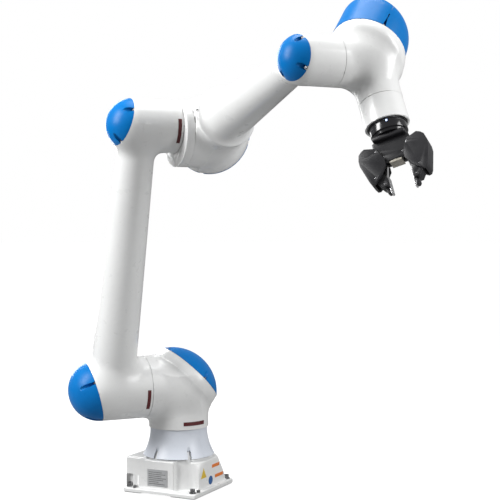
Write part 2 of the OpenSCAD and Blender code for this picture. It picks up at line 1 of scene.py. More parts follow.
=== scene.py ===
"""Looks of the jointed robot arm: skins, caps, gripper and finishes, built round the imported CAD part.

Lengths are millimetres in each body's own frame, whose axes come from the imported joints, and turn into metres
when a mesh is made. Cast and moulded skins are smooth fields (negative inside) turned into meshes, so that
housings flow into each other as cast metal does.
"""

import json
import math

import bmesh
import bpy
import numpy as np
from mathutils import Matrix, Vector


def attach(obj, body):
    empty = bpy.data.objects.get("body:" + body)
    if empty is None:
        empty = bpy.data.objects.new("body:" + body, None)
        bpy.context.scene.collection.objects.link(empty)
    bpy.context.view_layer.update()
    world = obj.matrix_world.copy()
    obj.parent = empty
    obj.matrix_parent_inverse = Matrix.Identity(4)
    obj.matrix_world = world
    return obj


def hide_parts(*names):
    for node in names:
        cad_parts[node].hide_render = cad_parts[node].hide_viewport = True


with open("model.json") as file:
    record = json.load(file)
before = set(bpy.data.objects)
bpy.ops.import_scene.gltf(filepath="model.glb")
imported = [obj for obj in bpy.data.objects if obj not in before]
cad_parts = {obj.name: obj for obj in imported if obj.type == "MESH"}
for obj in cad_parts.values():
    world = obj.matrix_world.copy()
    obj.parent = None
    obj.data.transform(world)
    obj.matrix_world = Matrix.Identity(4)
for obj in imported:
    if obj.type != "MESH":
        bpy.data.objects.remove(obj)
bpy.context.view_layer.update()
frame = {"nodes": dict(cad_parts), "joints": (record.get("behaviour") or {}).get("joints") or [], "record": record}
MM = 0.001

# ---------- driving sizes, shared with the CAD part ----------
S_SEAM, L_SEAM, U_SEAM, B_SEAM, R_SEAM, T_SEAM = 165.5, 99.8, 94.7, 73.2, 91.0, 96.4
S_R, L_R, U_R, B_R, T_R = 77.0, 80.5, 64.3, 53.9, 46.5
HALF_GAP = 0.5
CAP_TILT = math.radians(16)
TUBE_OFF, TUBE_R = 187.0, (58.75, 43.6)
FORE_R = (61.0, 34.0)
L_BALL, U_BALL = 219.0, 203.0
L_CUT, U_CUT, B_CUT = 227.0, 220.6, 22.9
SH_CUT, SH_RIM_R, SH_DOME_R, SH_DOME_BACK = 43.0, 96.5, 118.0, 68.0
EL_RIM, EL_RIM_R, EL_DOME_R, EL_DOME_BACK = (-57.0, 26.0, 0.0), 101.0, 121.0, 66.6
EL_TURN, EL_FLANGE_R, EL_DROP, EL_BOSS_R = math.radians(50), 81.0, 17.0, 74.0
WR_RIM, WR_RIM_R, WR_TURN = (-37.3, 3.9, 0.0), 83.5, math.radians(54.6)
WR_DOME, WR_DOME_R = (-60.0, 1.0, 0.0), 95.0
COVER_END, FLANGE_END, ADAPTER_R, ADAPTER_END = 153.6, 158.0, 39.5, 180.0
KNUCKLE_PIN, LINK_PIN, FINGER_PIN, LINK_END = (212, 33), (226, 20), (268, 47), (282, 34)
SMALL_FIRST, SH_FIRST, EL_FIRST, WR_FIRST = 45, 5, 20, 86
SCREW_INSET = 5.0
WALL, CAP_WALL, CAP_LESS = 7.5, 3.0, 0.1
SCOOP_R, SCOOP_WALL = 5.9, 2.9
SKIN_GAP, RIM_ROUND, RING_BORE_R, RING_SCREW_IN = 0.4, 9, 56, 9
PIN_R, FINGER_PIN_R, LOWER_PIN_R, PIN_FIT = 3, 2.5, 2.1, 0.05
KNUCKLE_HALF, CHEEK_INNER, BODY_HALF, LINK_SLOT_HALF, BLADE_HALF = 24, 17, 16.4, 6.4, 8

# ---------- frames from the joints ----------
JOINTS = {j["name"]: j for j in frame["joints"]}


def joint_axis(name):
    return Vector(JOINTS[name]["axis"]).normalized()


def joint_at(name):
    return Vector(JOINTS[name]["pos_m"])


def placed(origin, x, y, z):
    """Matrix from millimetres along x, y, z to metres in the row frame."""
    m = Matrix((x, y, z)).transposed().to_4x4()
    return Matrix.Translation(origin) @ m @ Matrix.Scale(MM, 4)


UP = Vector((0, 0, 1))
ARM_Y = joint_axis("l_axis")
LIFT = (joint_at("u_axis") - joint_at("l_axis")).normalized()
FORE_X, TOOL_X, HINGE = joint_axis("r_axis"), joint_axis("t_axis"), joint_axis("left_knuckle_pivot")
LOWER_LEN = (joint_at("u_axis") - joint_at("l_axis")).length / MM
FORE_LEN = (joint_at("b_axis") - joint_at("u_axis")).length / MM
WRIST_OFF = (joint_at("t_axis") - joint_at("b_axis")).length / MM
IN_BASE = placed(Vector((0, 0, 0)), Vector((1, 0, 0)), Vector((0, 1, 0)), UP)
IN_SHOULDER = placed(joint_at("l_axis"), ARM_Y.cross(UP), ARM_Y, UP)
IN_LOWER = placed(joint_at("l_axis"), ARM_Y.cross(LIFT), ARM_Y, LIFT)
IN_LOWER_TOP = placed(joint_at("u_axis"), ARM_Y.cross(LIFT), ARM_Y, LIFT)
IN_ELBOW = placed(joint_at("u_axis"), FORE_X, ARM_Y, FORE_X.cross(ARM_Y))
IN_FORE_END = placed(joint_at("b_axis"), FORE_X, ARM_Y, FORE_X.cross(ARM_Y))
IN_WRIST = placed(joint_at("t_axis"), TOOL_X, ARM_Y, TOOL_X.cross(ARM_Y))
IN_TOOL = placed(joint_at("t_axis"), TOOL_X, HINGE.cross(TOOL_X), HINGE)


# ---------- fields: arrays of points in, distances out ----------
def ball(p, centre, r):
    return np.linalg.norm(p - np.array(centre, float), axis=1) - r


def rod(p, axis, r, centre=(0, 0, 0)):
    """An endless cylinder along coordinate axis 0, 1 or 2."""
    a, b = [k for k in range(3) if k != axis]
    return np.hypot(p[:, a] - centre[a], p[:, b] - centre[b]) - r


def span(p, axis, low, high):
    return np.maximum(low - p[:, axis], p[:, axis] - high)


def cone(p, axis, r0, r1, at0, at1, centre=(0, 0, 0)):
    """An endless cone whose radius is r0 at at0 and r1 at at1."""
    slope = (r1 - r0) / (at1 - at0)
    a, b = [k for k in range(3) if k != axis]
    out = np.hypot(p[:, a] - centre[a], p[:, b] - centre[b])
    return (out - r0 - slope * (p[:, axis] - at0)) / math.hypot(1, slope)


def block(p, low, high, r=0.0):
    """A box with rounded edges."""
    low, high = np.array(low, float), np.array(high, float)
    q = np.abs(p - (low + high) / 2) - (high - low) / 2 + r
    return np.linalg.norm(np.maximum(q, 0), axis=1) + np.minimum(q.max(axis=1), 0) - r


def melt(k, *fields):
    """Union whose joins are filled to about radius k."""
    out = fields[0]
    for f in fields[1:]:
        h = np.clip(0.5 + 0.5 * (f - out) / k, 0, 1)
        out = f * (1 - h) + out * h - k * h * (1 - h)
    return out


def meet(k, *fields):
    """Intersection whose edges are rounded to about radius k."""
    return -melt(k, *[-f for f in fields])


class Cut:
    """A rim plane: its own x, y, z axes, with z out of the casting into the cap."""

    def __init__(self, centre, x, y):
        self.c, self.x, self.y = (np.array(v, float) for v in (centre, x, y))
        self.z = np.cross(self.x, self.y)

    def inside(self, p):
        return np.stack([(p - self.c) @ self.x, (p - self.c) @ self.y, (p - self.c) @ self.z], axis=1)

    def height(self, p):
        return (p - self.c) @ self.z


def under_rim(p, rim, r):
    """Keeps a housing inside its rim's radius at the rim, and lets it widen below."""
    q = rim.inside(p)
    deep = np.maximum(0, -q[:, 2])
    return (np.hypot(q[:, 0], q[:, 1]) - r - 0.3 * deep - 1.4 * np.maximum(0, deep - 26)) / 1.05


def rim_flare(p, rim, r, inset, deep):
    """A short cone under a rim, whose lower edge is rounded so that it runs softly into the housing."""
    q = rim.inside(p)
    return meet(14, cone(q, 2, r - inset, r, -deep, 0), -q[:, 2] - deep)


COS, SIN = math.cos(CAP_TILT), math.sin(CAP_TILT)
L_RIM = Cut((0, -L_CUT / COS, 0), (1, 0, 0), (0, -SIN, COS))
U_RIM = Cut((0, -U_CUT / COS, 0), (1, 0, 0), (0, SIN, COS))
B_RIM = Cut((0, -B_CUT / COS, 0), (0, 0, 1), (-COS, -SIN, 0))
HALF_ROOT = math.sqrt(0.5)
S_RIM = Cut((0, SH_CUT * HALF_ROOT, SH_CUT * HALF_ROOT), (1, 0, 0), (0, HALF_ROOT, -HALF_ROOT))
E_RIM = Cut(EL_RIM, (math.cos(EL_TURN), math.sin(EL_TURN), 0), (0, 0, -1))
W_RIM = Cut(WR_RIM, (math.cos(WR_TURN), math.sin(WR_TURN), 0), (0, 0, -1))


# ---------- meshes from fields ----------
def gradient(f, p, e=0.15):
    g = np.empty_like(p)
    for k in range(3):
        d = np.zeros(3)
        d[k] = e
        g[:, k] = (f(p + d) - f(p - d)) / (2 * e)
    return g


def surface_nets(field, low, high, cell):
    """One vertex in each cell that the surface crosses, and one quad round each grid edge it crosses."""
    low = np.array(low, float)
    n = np.ceil((np.array(high, float) - low) / cell).astype(int) + 1
    at = [low[k] + cell * np.arange(n[k]) for k in range(3)]
    yy, zz = np.meshgrid(at[1], at[2], indexing="ij")
    v = np.empty(n)
    for i, x in enumerate(at[0]):
        v[i] = field(np.stack([np.full(yy.shape, x), yy, zz], -1).reshape(-1, 3)).reshape(yy.shape)
    inside = v < 0
    total, count = np.zeros((*(n - 1), 3)), np.zeros(n - 1)
    edges = []
    for axis in range(3):
        first = [slice(None)] * 3
        last = [slice(None)] * 3
        first[axis], last[axis] = slice(None, -1), slice(1, None)
        va, vb = v[tuple(first)], v[tuple(last)]
        cross = inside[tuple(first)] != inside[tuple(last)]
        share = np.where(cross, va / np.where(cross, va - vb, 1), 0)
        edges.append((cross, inside[tuple(first)]))
        u, w = (axis + 1) % 3, (axis + 2) % 3
        for du in (0, 1):
            for dw in (0, 1):
                part = [slice(None)] * 3
                part[u] = slice(du, n[u] - 1 + du)
                part[w] = slice(dw, n[w] - 1 + dw)
                hit = cross[tuple(part)]
                total[..., axis] += share[tuple(part)]
                total[..., u] += hit * du
                total[..., w] += hit * dw
                count += hit
    live = count > 0
    number = np.full(n - 1, -1)
    number[live] = np.arange(live.sum())
    verts = low + cell * (np.argwhere(live) + total[live] / count[live][:, None])
    quads = []
    for axis, (cross, starts_in) in enumerate(edges):
        u, w = (axis + 1) % 3, (axis + 2) % 3
        e = np.argwhere(cross)
        e = e[(e[:, u] > 0) & (e[:, w] > 0) & (e[:, u] < n[u] - 1) & (e[:, w] < n[w] - 1)]
        corners = []
        for du, dw in ((1, 1), (0, 1), (0, 0), (1, 0)):
            c = e.copy()
            c[:, u] -= du
            c[:, w] -= dw
            corners.append(number[c[:, 0], c[:, 1], c[:, 2]])
        q = np.stack(corners, 1)
        flip = ~starts_in[e[:, 0], e[:, 1], e[:, 2]]
        q[flip] = q[flip][:, ::-1]
        quads.append(q)
    return verts, np.concatenate(quads)


def relax(verts, quads, amount=0.5):
    """Moves each vertex part of the way to the middle of its neighbours."""
    ends = np.concatenate([quads[:, [k, (k + 1) % 4]] for k in range(4)])
    total, count = np.zeros_like(verts), np.zeros(len(verts))
    for a, b in ((0, 1), (1, 0)):
        np.add.at(total, ends[:, a], verts[ends[:, b]])
        np.add.at(count, ends[:, a], 1)
    return verts + amount * (total / np.maximum(count, 1)[:, None] - verts)


def settle(fields, verts, cell):
    """Brings vertices onto the surface, or onto a crease close by, and gives their normals."""
    rows = np.arange(len(verts))
    for _ in range(5):
        values = np.stack([f(verts) for f in fields], 1)
        grads = np.stack([gradient(f, verts) for f in fields], 1)
        order = np.argsort(-values, axis=1)
        a = order[:, 0]
        fa, ga = values[rows, a], grads[rows, a]
        step = -ga * (fa / np.maximum((ga * ga).sum(1), 1e-6))[:, None]
        if len(fields) > 1:
            b = order[:, 1]
            fb, gb = values[rows, b], grads[rows, b]
            aa, bb, ab = (ga * ga).sum(1), (gb * gb).sum(1), (ga * gb).sum(1)
            det = aa * bb - ab * ab
            sharp = (fb > fa - 0.5 * cell) & (det > 0.08 * aa * bb)
            safe = np.where(sharp, det, 1)
            la, lb = (bb * fa - ab * fb) / safe, (aa * fb - ab * fa) / safe
            both = -(ga * la[:, None] + gb * lb[:, None])
            step = np.where(sharp[:, None], both, step)
        length = np.linalg.norm(step, axis=1)
        verts = verts + step * np.minimum(1, cell / np.maximum(length, 1e-9))[:, None]
    values = np.stack([f(verts) for f in fields], 1)
    facing = np.where(values[:, 0] > values.max(axis=1) - 0.05, 0, values.argmax(axis=1))
    normals = np.stack([gradient(f, verts) for f in fields], 1)[rows, facing]
    return verts, normals / np.maximum(np.linalg.norm(normals, axis=1), 1e-9)[:, None]


def register(obj, body, nodes, material):
    obj.data.materials.append(material)
    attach(obj, body)
    if nodes:
        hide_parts(*nodes)
    return obj


def skin(name, fields, low, high, cell, place, body, nodes, material):
    """A piece from fields, all of which are negative inside it. The first one is its visible outside."""
    verts, quads = surface_nets(lambda p: np.max([f(p) for f in fields], axis=0), low, high, cell)
    verts, normals = settle(fields, relax(verts, quads), cell)
    m = np.array(place)
    mesh = bpy.data.meshes.new(name)
    mesh.from_pydata((verts @ m[:3, :3].T + m[:3, 3]).tolist(), [], quads.tolist())
    mesh.shade_smooth()
    turned = normals @ (m[:3, :3] / MM).T
    mesh.normals_split_custom_set_from_vertices(turned.tolist())
    obj = bpy.data.objects.new(name, mesh)
    bpy.context.collection.objects.link(obj)
    return register(obj, body, nodes, material)


# ---------- materials ----------
class Nodes:
    """A small helper for building a material's nodes."""

    def __init__(self, name):
        self.mat = bpy.data.materials.new(name)
        self.mat.use_nodes = True
        self.tree = self.mat.node_tree
        self.surface = self.tree.nodes["Principled BSDF"]
        self.place = self.add("ShaderNodeTexCoord").outputs["Object"]

    def add(self, kind, **props):
        node = self.tree.nodes.new(kind)
        for k, v in props.items():
            setattr(node, k, v)
        return node

    def link(self, a, b):
        self.tree.links.new(a, b)

    def noise(self, scale, detail=3.0, stretch=None):
        node = self.add("ShaderNodeTexNoise")
        node.inputs["Scale"].default_value = scale
        node.inputs["Detail"].default_value = detail
        if stretch:
            mapping = self.add("ShaderNodeMapping")
            mapping.inputs["Scale"].default_value = stretch
            self.link(self.place, mapping.inputs["Vector"])
            self.link(mapping.outputs["Vector"], node.inputs["Vector"])
        else:
            self.link(self.place, node.inputs["Vector"])
        return node.outputs["Fac"]

    def between(self, fac, low, high, start=0.3, end=0.7):
        node = self.add("ShaderNodeMapRange")
        node.inputs["From Min"].default_value = start
        node.inputs["From Max"].default_value = end
        node.inputs["To Min"].default_value = low
        node.inputs["To Max"].default_value = high
        self.link(fac, node.inputs["Value"])
        return node.outputs["Result"]

    def mix(self, fac, a, b):
        node = self.add("ShaderNodeMix", data_type="RGBA")
        for socket, colour in ((node.inputs[6], a), (node.inputs[7], b)):
            if isinstance(colour, tuple):
                socket.default_value = (*colour, 1)
            else:
                self.link(colour, socket)
        self.link(fac, node.inputs[0])
        return node.outputs[2]

    def bump(self, height, strength, distance=0.0004):
        node = self.add("ShaderNodeBump")
        node.inputs["Strength"].default_value = strength
        node.inputs["Distance"].default_value = distance
        self.link(height, node.inputs["Height"])
        self.link(node.outputs["Normal"], self.surface.inputs["Normal"])

    def set(self, **values):
        for k, v in values.items():
            self.surface.inputs[k.replace("_", " ")].default_value = v


def painted(name, light, dark, rough, coat=0.0, peel=0.05, peel_scale=420.0, shine=0.5):
    """Paint or moulded plastic: drifting shade, uneven gloss and a fine orange peel."""
    n = Nodes(name)
    drift = n.between(n.noise(6.0), 0, 1)
    mottle = n.between(n.noise(90.0, 4.0), 0, 1, 0.5, 0.85)
    shade = n.mix(drift, light, dark)
    n.link(n.mix(mottle, shade, tuple(0.985 * c for c in dark)), n.surface.inputs["Base Color"])
    n.link(n.between(n.noise(38.0, 5.0), rough[0], rough[1]), n.surface.inputs["Roughness"])
    n.bump(n.noise(peel_scale, 2.0), peel)
    n.set(Coat_Weight=coat, Coat_Roughness=0.08, Specular_IOR_Level=shine)
    return n.mat


def metal(name, light, dark, rough, stretch=(1, 1, 1), grain=900.0, strength=0.12):
    """Machined or polished metal with a directional grain and faint stains."""
    n = Nodes(name)
    stain = n.between(n.noise(22.0, 4.0), 0, 1)
    n.link(n.mix(stain, light, dark), n.surface.inputs["Base Color"])
    n.link(n.between(n.noise(70.0, 5.0, stretch), rough[0], rough[1]), n.surface.inputs["Roughness"])
    n.bump(n.noise(grain, 3.0, stretch), strength, 0.0002)
    n.set(Metallic=1.0)
    return n.mat


WHITE = painted("white_paint", (0.80, 0.805, 0.80), (0.77, 0.775, 0.77), (0.26, 0.36), coat=0.2, peel=0.015)
NECK = painted("neck_plastic", (0.70, 0.735, 0.80), (0.66, 0.70, 0.77), (0.34, 0.44), peel=0.08)
BLUE = painted("blue_plastic", (0.0, 0.165, 0.50), (0.0, 0.145, 0.455), (0.3, 0.4), peel=0.01, shine=0.16)
RED = painted("red_strip", (0.11, 0.008, 0.011), (0.075, 0.006, 0.008), (0.5, 0.65), peel=0.12)
BLACK = painted("gripper_black", (0.018, 0.018, 0.021), (0.011, 0.011, 0.013), (0.36, 0.5), peel=0.1,
                peel_scale=1400)
GLOSS_BLACK = painted("adapter_black", (0.014, 0.014, 0.016), (0.01, 0.01, 0.012), (0.14, 0.24), coat=0.4)
DARK = painted("connector_plastic", (0.02, 0.02, 0.022), (0.014, 0.014, 0.016), (0.45, 0.6), peel=0.2)
CABLE = painted("cable_rubber", (0.02, 0.02, 0.022), (0.012, 0.012, 0.014), (0.55, 0.7), peel=0.2)
ORANGE = painted("label_orange", (0.75, 0.20, 0.03), (0.68, 0.17, 0.025), (0.4, 0.55))
YELLOW = painted("label_yellow", (0.72, 0.50, 0.04), (0.66, 0.45, 0.035), (0.4, 0.55))
LABEL_BLUE = painted("label_blue", (0.02, 0.10, 0.30), (0.015, 0.085, 0.26), (0.4, 0.55))
PALM = painted("palm_coat", (0.58, 0.55, 0.47), (0.50, 0.47, 0.40), (0.3, 0.42), peel=0.15)
STEEL = metal("screw_steel", (0.42, 0.42, 0.43), (0.22, 0.22, 0.225), (0.18, 0.34), strength=0.1)
POLISHED = metal("polished_steel", (0.84, 0.84, 0.85), (0.74, 0.74, 0.75), (0.16, 0.28), strength=0.02)
RING = metal("reducer_steel", (0.50, 0.51, 0.53), (0.38, 0.39, 0.41), (0.28, 0.42))
IRON = metal("motor_iron", (0.12, 0.12, 0.13), (0.07, 0.07, 0.08), (0.4, 0.55))
ALLOY = metal("flange_metal", (0.68, 0.69, 0.70), (0.56, 0.57, 0.58), (0.3, 0.42))
PLATE = metal("plate_metal", (0.66, 0.67, 0.68), (0.58, 0.59, 0.60), (0.42, 0.55), stretch=(0.05, 0.05, 1))


def lamp_material():
    n = Nodes("lamp")
    shade = n.mix(n.between(n.noise(500.0), 0, 1), (0.55, 0.68, 1.0), (0.4, 0.55, 1.0))
    n.link(shade, n.surface.inputs["Base Color"])
    n.link(shade, n.surface.inputs["Emission Color"])
    n.link(n.between(n.noise(900.0), 0.1, 0.2), n.surface.inputs["Roughness"])
    n.set(Emission_Strength=2.5)
    return n.mat


LAMP = lamp_material()
SLOT_MATERIAL = {
    "white_paint": WHITE, "neck_plastic": NECK, "blue_plastic": BLUE, "red_strip": RED, "plate_metal": PLATE,
    "screw_steel": STEEL, "reducer_steel": RING, "motor_iron": IRON, "flange_metal": ALLOY,
    "cable_rubber": CABLE, "connector_plastic": DARK, "lamp": LAMP, "gripper_black": BLACK,
    "palm_coat": PALM, "polished_steel": POLISHED}


def finish_cad_nodes():
    """Every CAD node takes the detailed material of its slot."""
    for sub in frame["record"]["subparts"]:
        mesh = frame["nodes"][sub["node"]].data
        mesh.materials.clear()
        mesh.materials.append(SLOT_MATERIAL[sub["material_slot"]])


finish_cad_nodes()


# ---------- castings ----------
def capsule(p, r, ball_y, centre_z=0.0):
    """A cylinder along Y from the seam side, closed by a ball at -ball_y."""
    q = p - np.array([0, 0, centre_z])
    past = np.minimum(q[:, 1] + ball_y, 0)
    return np.sqrt(q[:, 0] ** 2 + q[:, 2] ** 2 + past ** 2) - r


def arm_outside(p):
    """Two housings along Y, joined by a tube that tapers upwards."""
    low_end = np.maximum(capsule(p, L_R, L_BALL), p[:, 1] + L_SEAM - 20)
    top_end = np.maximum(capsule(p, U_R, U_BALL, LOWER_LEN), p[:, 1] + U_SEAM - 20)
    tube = np.maximum(cone(p, 2, *TUBE_R, 0, LOWER_LEN, (0, -TUBE_OFF, 0)), span(p, 2, 0, LOWER_LEN))
    return melt(24, melt(24, low_end, tube), top_end)


def lower_arm():
    high = np.array([0, 0, LOWER_LEN])
    near_top = LOWER_LEN * 0.5
    seam = lambda p: p[:, 1] + np.where(p[:, 2] < near_top, L_SEAM, U_SEAM) + HALF_GAP
    rims = lambda p: np.where(p[:, 2] < near_top, L_RIM.height(p), U_RIM.height(p - high))
    fields = [arm_outside, seam, rims, lambda p: -(arm_outside(p) + WALL)]
    skin("lower_arm_skin", fields, (-90, -262, -92), (90, -90, LOWER_LEN + 74), 4.0, IN_LOWER,
         "lower_arm", ["lower_arm_casting"], WHITE)


def shoulder_outside(p):
    """A ball between the neck and the first arm joint, widening to the slanting rim of its cap."""
    neck = np.maximum(rod(p, 2, S_R + 2), p[:, 2] - 20)
    side = np.maximum(rod(p, 1, L_R + 0.8), p[:, 1] - 20)
    flare = rim_flare(p, S_RIM, SH_RIM_R, 2.5, 16)
    body = melt(34, melt(26, neck, side, ball(p, (0, 4, 4), 86)), flare)
    return meet(RIM_ROUND, body, under_rim(p, S_RIM, SH_RIM_R))


def shoulder():
    fields = [shoulder_outside, S_RIM.height,
              lambda p: S_SEAM + HALF_GAP - joint_at("l_axis").z / MM - p[:, 2],
              lambda p: -L_SEAM + HALF_GAP - p[:, 1],
              lambda p: -(shoulder_outside(p) + WALL)]
    skin("shoulder_skin", fields, (-104, -102, -114), (104, 104, 104), 3.2, IN_SHOULDER,
         "shoulder", ["shoulder_casting"], WHITE)


def elbow_outside(p):
    """A ball between the off-centre ring and the forearm's boss, widening to the rim of its cap."""
    side = np.maximum(rod(p, 1, EL_FLANGE_R, (0, 0, -EL_DROP)), p[:, 1] + 30)
    boss = np.maximum(rod(p, 0, EL_BOSS_R), -p[:, 0] - 30)
    flare = rim_flare(p, E_RIM, EL_RIM_R, 3, 14)
    core = melt(30, side, ball(p, (-22, 4, -4), 80))
    body = melt(40, melt(26, core, boss), flare)
    return meet(RIM_ROUND, body, under_rim(p, E_RIM, EL_RIM_R))


def elbow():
    fields = [elbow_outside, E_RIM.height,
              lambda p: -U_SEAM + 21.5 - p[:, 1],
              lambda p: p[:, 0] - R_SEAM + HALF_GAP,
              lambda p: -(elbow_outside(p) + WALL)]
    skin("elbow_skin", fields, (-160, -78, -112), (96, 118, 112), 3.4, IN_ELBOW,
         "elbow", ["elbow_casting"], WHITE)


def forearm_outside(p):
    """A flange and a tapering tube, ending in a round cup that looks along Y."""
    flange = meet(3, rod(p, 0, EL_BOSS_R - 0.4), span(p, 0, R_SEAM - 40, R_SEAM + 9))
    tube = np.maximum(cone(p, 0, *FORE_R, R_SEAM + 12, FORE_LEN), span(p, 0, R_SEAM - 10, FORE_LEN))
    end = p - np.array([FORE_LEN, 0, 0])
    past = np.minimum(end[:, 1], 0)
    cup = np.maximum(np.sqrt(end[:, 0] ** 2 + end[:, 2] ** 2 + past ** 2) - B_R, p[:, 1] - 90)
    return melt(22, melt(26, flange, tube), cup)


def forearm():
    tip = np.array([FORE_LEN, 0, 0])
    fields = [forearm_outside, lambda p: B_RIM.height(p - tip),
              lambda p: p[:, 1] - B_SEAM + HALF_GAP,
              lambda p: R_SEAM + HALF_GAP - p[:, 0],
              lambda p: -(forearm_outside(p) + WALL - 1)]
    skin("forearm_skin", fields, (86, -74, -76), (FORE_LEN + 60, 78, 76), 3.4, IN_ELBOW,
         "forearm", ["forearm_casting"], WHITE)


def wrist_outside(p):
    """A ball between the forearm's cup and the tool's nose, widening to the rim of the hood."""
    side = np.maximum(rod(p, 1, B_R), p[:, 1] - 10)
    nose = np.maximum(rod(p, 0, T_R + 0.5), -p[:, 0] - 20)
    flare = rim_flare(p, W_RIM, WR_RIM_R, 3, 16)
    body = melt(36, melt(24, ball(p, (-17, -1, 0), 74), side, nose), flare)
    return meet(RIM_ROUND, body, under_rim(p, W_RIM, WR_RIM_R))


def wrist():
    fields = [wrist_outside, W_RIM.height,
              lambda p: -(WRIST_OFF - B_SEAM) + HALF_GAP - p[:, 1],
              lambda p: p[:, 0] - T_SEAM + HALF_GAP,
              lambda p: -(wrist_outside(p) + WALL - 1)]
    skin("wrist_skin", fields, (-112, -92, -94), (100, 92, 94), 2.9, IN_WRIST,
         "wrist", ["wrist_casting"], WHITE)


def tool_cover():
    fields = [lambda p: cone(p, 0, T_R, T_R + 0.8, T_SEAM, COVER_END),
              lambda p: span(p, 0, T_SEAM + HALF_GAP, COVER_END),
              lambda p: -np.maximum(rod(p, 0, T_R - 3.5), T_SEAM + 10 - p[:, 0]),
              lambda p: -rod(p, 0, 22)]
    skin("tool_cover_skin", fields, (T_SEAM - 2, -50, -50), (COVER_END + 3, 50, 50), 2.4, IN_TOOL,
         "tool", ["t_cover"], WHITE)


# ---------- caps ----------
def slant_rim(r, cut, ball_y):
    """Radius of the circle in which a slanting plane cuts a ball, and its shift off the joint's axis."""
    drop = cut / COS - ball_y
    return math.sqrt(r * r - (drop * COS) ** 2), drop * SIN


def cap(name, outside, inner, rim, r, shift, first, lean, low, high, cell, place, body, node):
    """A moulded cap: a thin skin above its rim plane, with a walled scoop leaning in from each screw."""
    turns = [math.radians(first + 90 * k) for k in range(4)]
    out = r - SCREW_INSET

    def rods(p):
        q = rim.inside(p)
        rise = lean * np.maximum(q[:, 2] - 1, 0)
        return np.min([np.hypot(q[:, 0] - (out - rise) * math.cos(t),
                                q[:, 1] - shift - (out - rise) * math.sin(t)) for t in turns], axis=0)

    hollow = lambda p: -np.maximum(inner(p), SCOOP_R + SCOOP_WALL - rods(p))
    fields = [outside, lambda p: SKIN_GAP - rim.height(p), lambda p: SCOOP_R - rods(p), hollow]
    skin(name, fields, low, high, cell, place, body, [node], BLUE)


def caps():
    r, shift = slant_rim(L_R, L_CUT, L_BALL)
    cap("lower_arm_l_cap_skin", lambda p: capsule(p, L_R - CAP_LESS, L_BALL),
        lambda p: capsule(p, L_R - CAP_WALL, L_BALL),
        L_RIM, r, -shift, SMALL_FIRST, 0.28, (-84, -304, -84), (84, -204, 84), 1.4, IN_LOWER, "lower_arm",
        "l_end_cap")
    r, shift = slant_rim(U_R, U_CUT, U_BALL)
    cap("lower_arm_u_cap_skin", lambda p: capsule(p, U_R - CAP_LESS, U_BALL),
        lambda p: capsule(p, U_R - CAP_WALL, U_BALL),
        U_RIM, r, shift, SMALL_FIRST, 0.28, (-68, -271, -68), (68, -190, 68), 1.4, IN_LOWER_TOP, "lower_arm",
        "u_end_cap")
    r, shift = slant_rim(B_R, B_CUT, 0)
    cap("forearm_b_cap_skin", lambda p: ball(p, (0, 0, 0), B_R - CAP_LESS),
        lambda p: ball(p, (0, 0, 0), B_R - CAP_WALL),
        B_RIM, r, -shift, SMALL_FIRST, 0.28, (-58, -58, -58), (58, 2, 58), 1.4, IN_FORE_END, "forearm",
        "b_end_cap")
    big_cap("shoulder_cap", S_RIM, SH_RIM_R, SH_DOME_R, SH_DOME_BACK, SH_FIRST, IN_SHOULDER, "shoulder")
    big_cap("elbow_cap", E_RIM, EL_RIM_R, EL_DOME_R, EL_DOME_BACK, EL_FIRST, IN_ELBOW, "elbow")


def big_cap(node, rim, r, dome_r, back, first, place, body):
    """A domed cap on a round rim, with the centre of its dome behind the rim."""
    centre = rim.c - rim.z * back
    cap(node + "_skin", lambda p: ball(p, centre, dome_r), lambda p: ball(p, centre, dome_r - CAP_WALL),
        rim, r, 0, first, 0.5, rim.c - r - 4, rim.c + r + 4, 1.5, place, body, node)


def hood_outside(p, inset=0.0):
    """The hood's drum, closed by a shallow dome."""
    q = W_RIM.inside(p)
    return meet(RIM_ROUND, rod(q, 2, WR_RIM_R - inset), ball(p, WR_DOME, WR_DOME_R - inset))


def hood():
    """The wrist's hood is one large cap."""
    cap("wrist_hood_skin", hood_outside, lambda p: hood_outside(p, CAP_WALL), W_RIM, WR_RIM_R, 0, WR_FIRST,
        0.05, (-162, -76, -90), (16, 104, 90), 1.5, IN_WRIST, "wrist", "wrist_hood")


# ---------- base ----------
BASE_TOP, PLATE_T, SIDE_FACE = 92.0, 13.0, 96.0
BOLT_AT, MOUNT_AT, POCKET_TOP = 94.0, 78.0, 47.0
LEVELLING_AT = ((-74, -102), (102, -78), (74, 102), (-102, 78))


def base_outside(p):
    """The foot plate, and above it the front, the labelled side, the connector box and the round core."""
    foot = block(p, (-107.5, -107.5, 0), (107.5, 107.5, PLATE_T), 3.0)
    core = meet(4, cone(p, 2, 94, 88, PLATE_T, BASE_TOP), span(p, 2, 4, BASE_TOP))
    front = block(p, (-60, -SIDE_FACE, 4), (39, -10, BASE_TOP - 4), 3.0)
    side = meet(5, block(p, (10, -61, 4), (SIDE_FACE, 98, BASE_TOP - 8), 3.0),
                cone(p, 2, 132, 99, PLATE_T, BASE_TOP))
    box = block(p, (-105.5, -SIDE_FACE, 4), (-50, 80, BASE_TOP), 4.0)
    upper = np.maximum(melt(6, core, front, side, box), np.maximum(p[:, 0], -p[:, 1]) - SIDE_FACE)
    return melt(4, foot, upper)


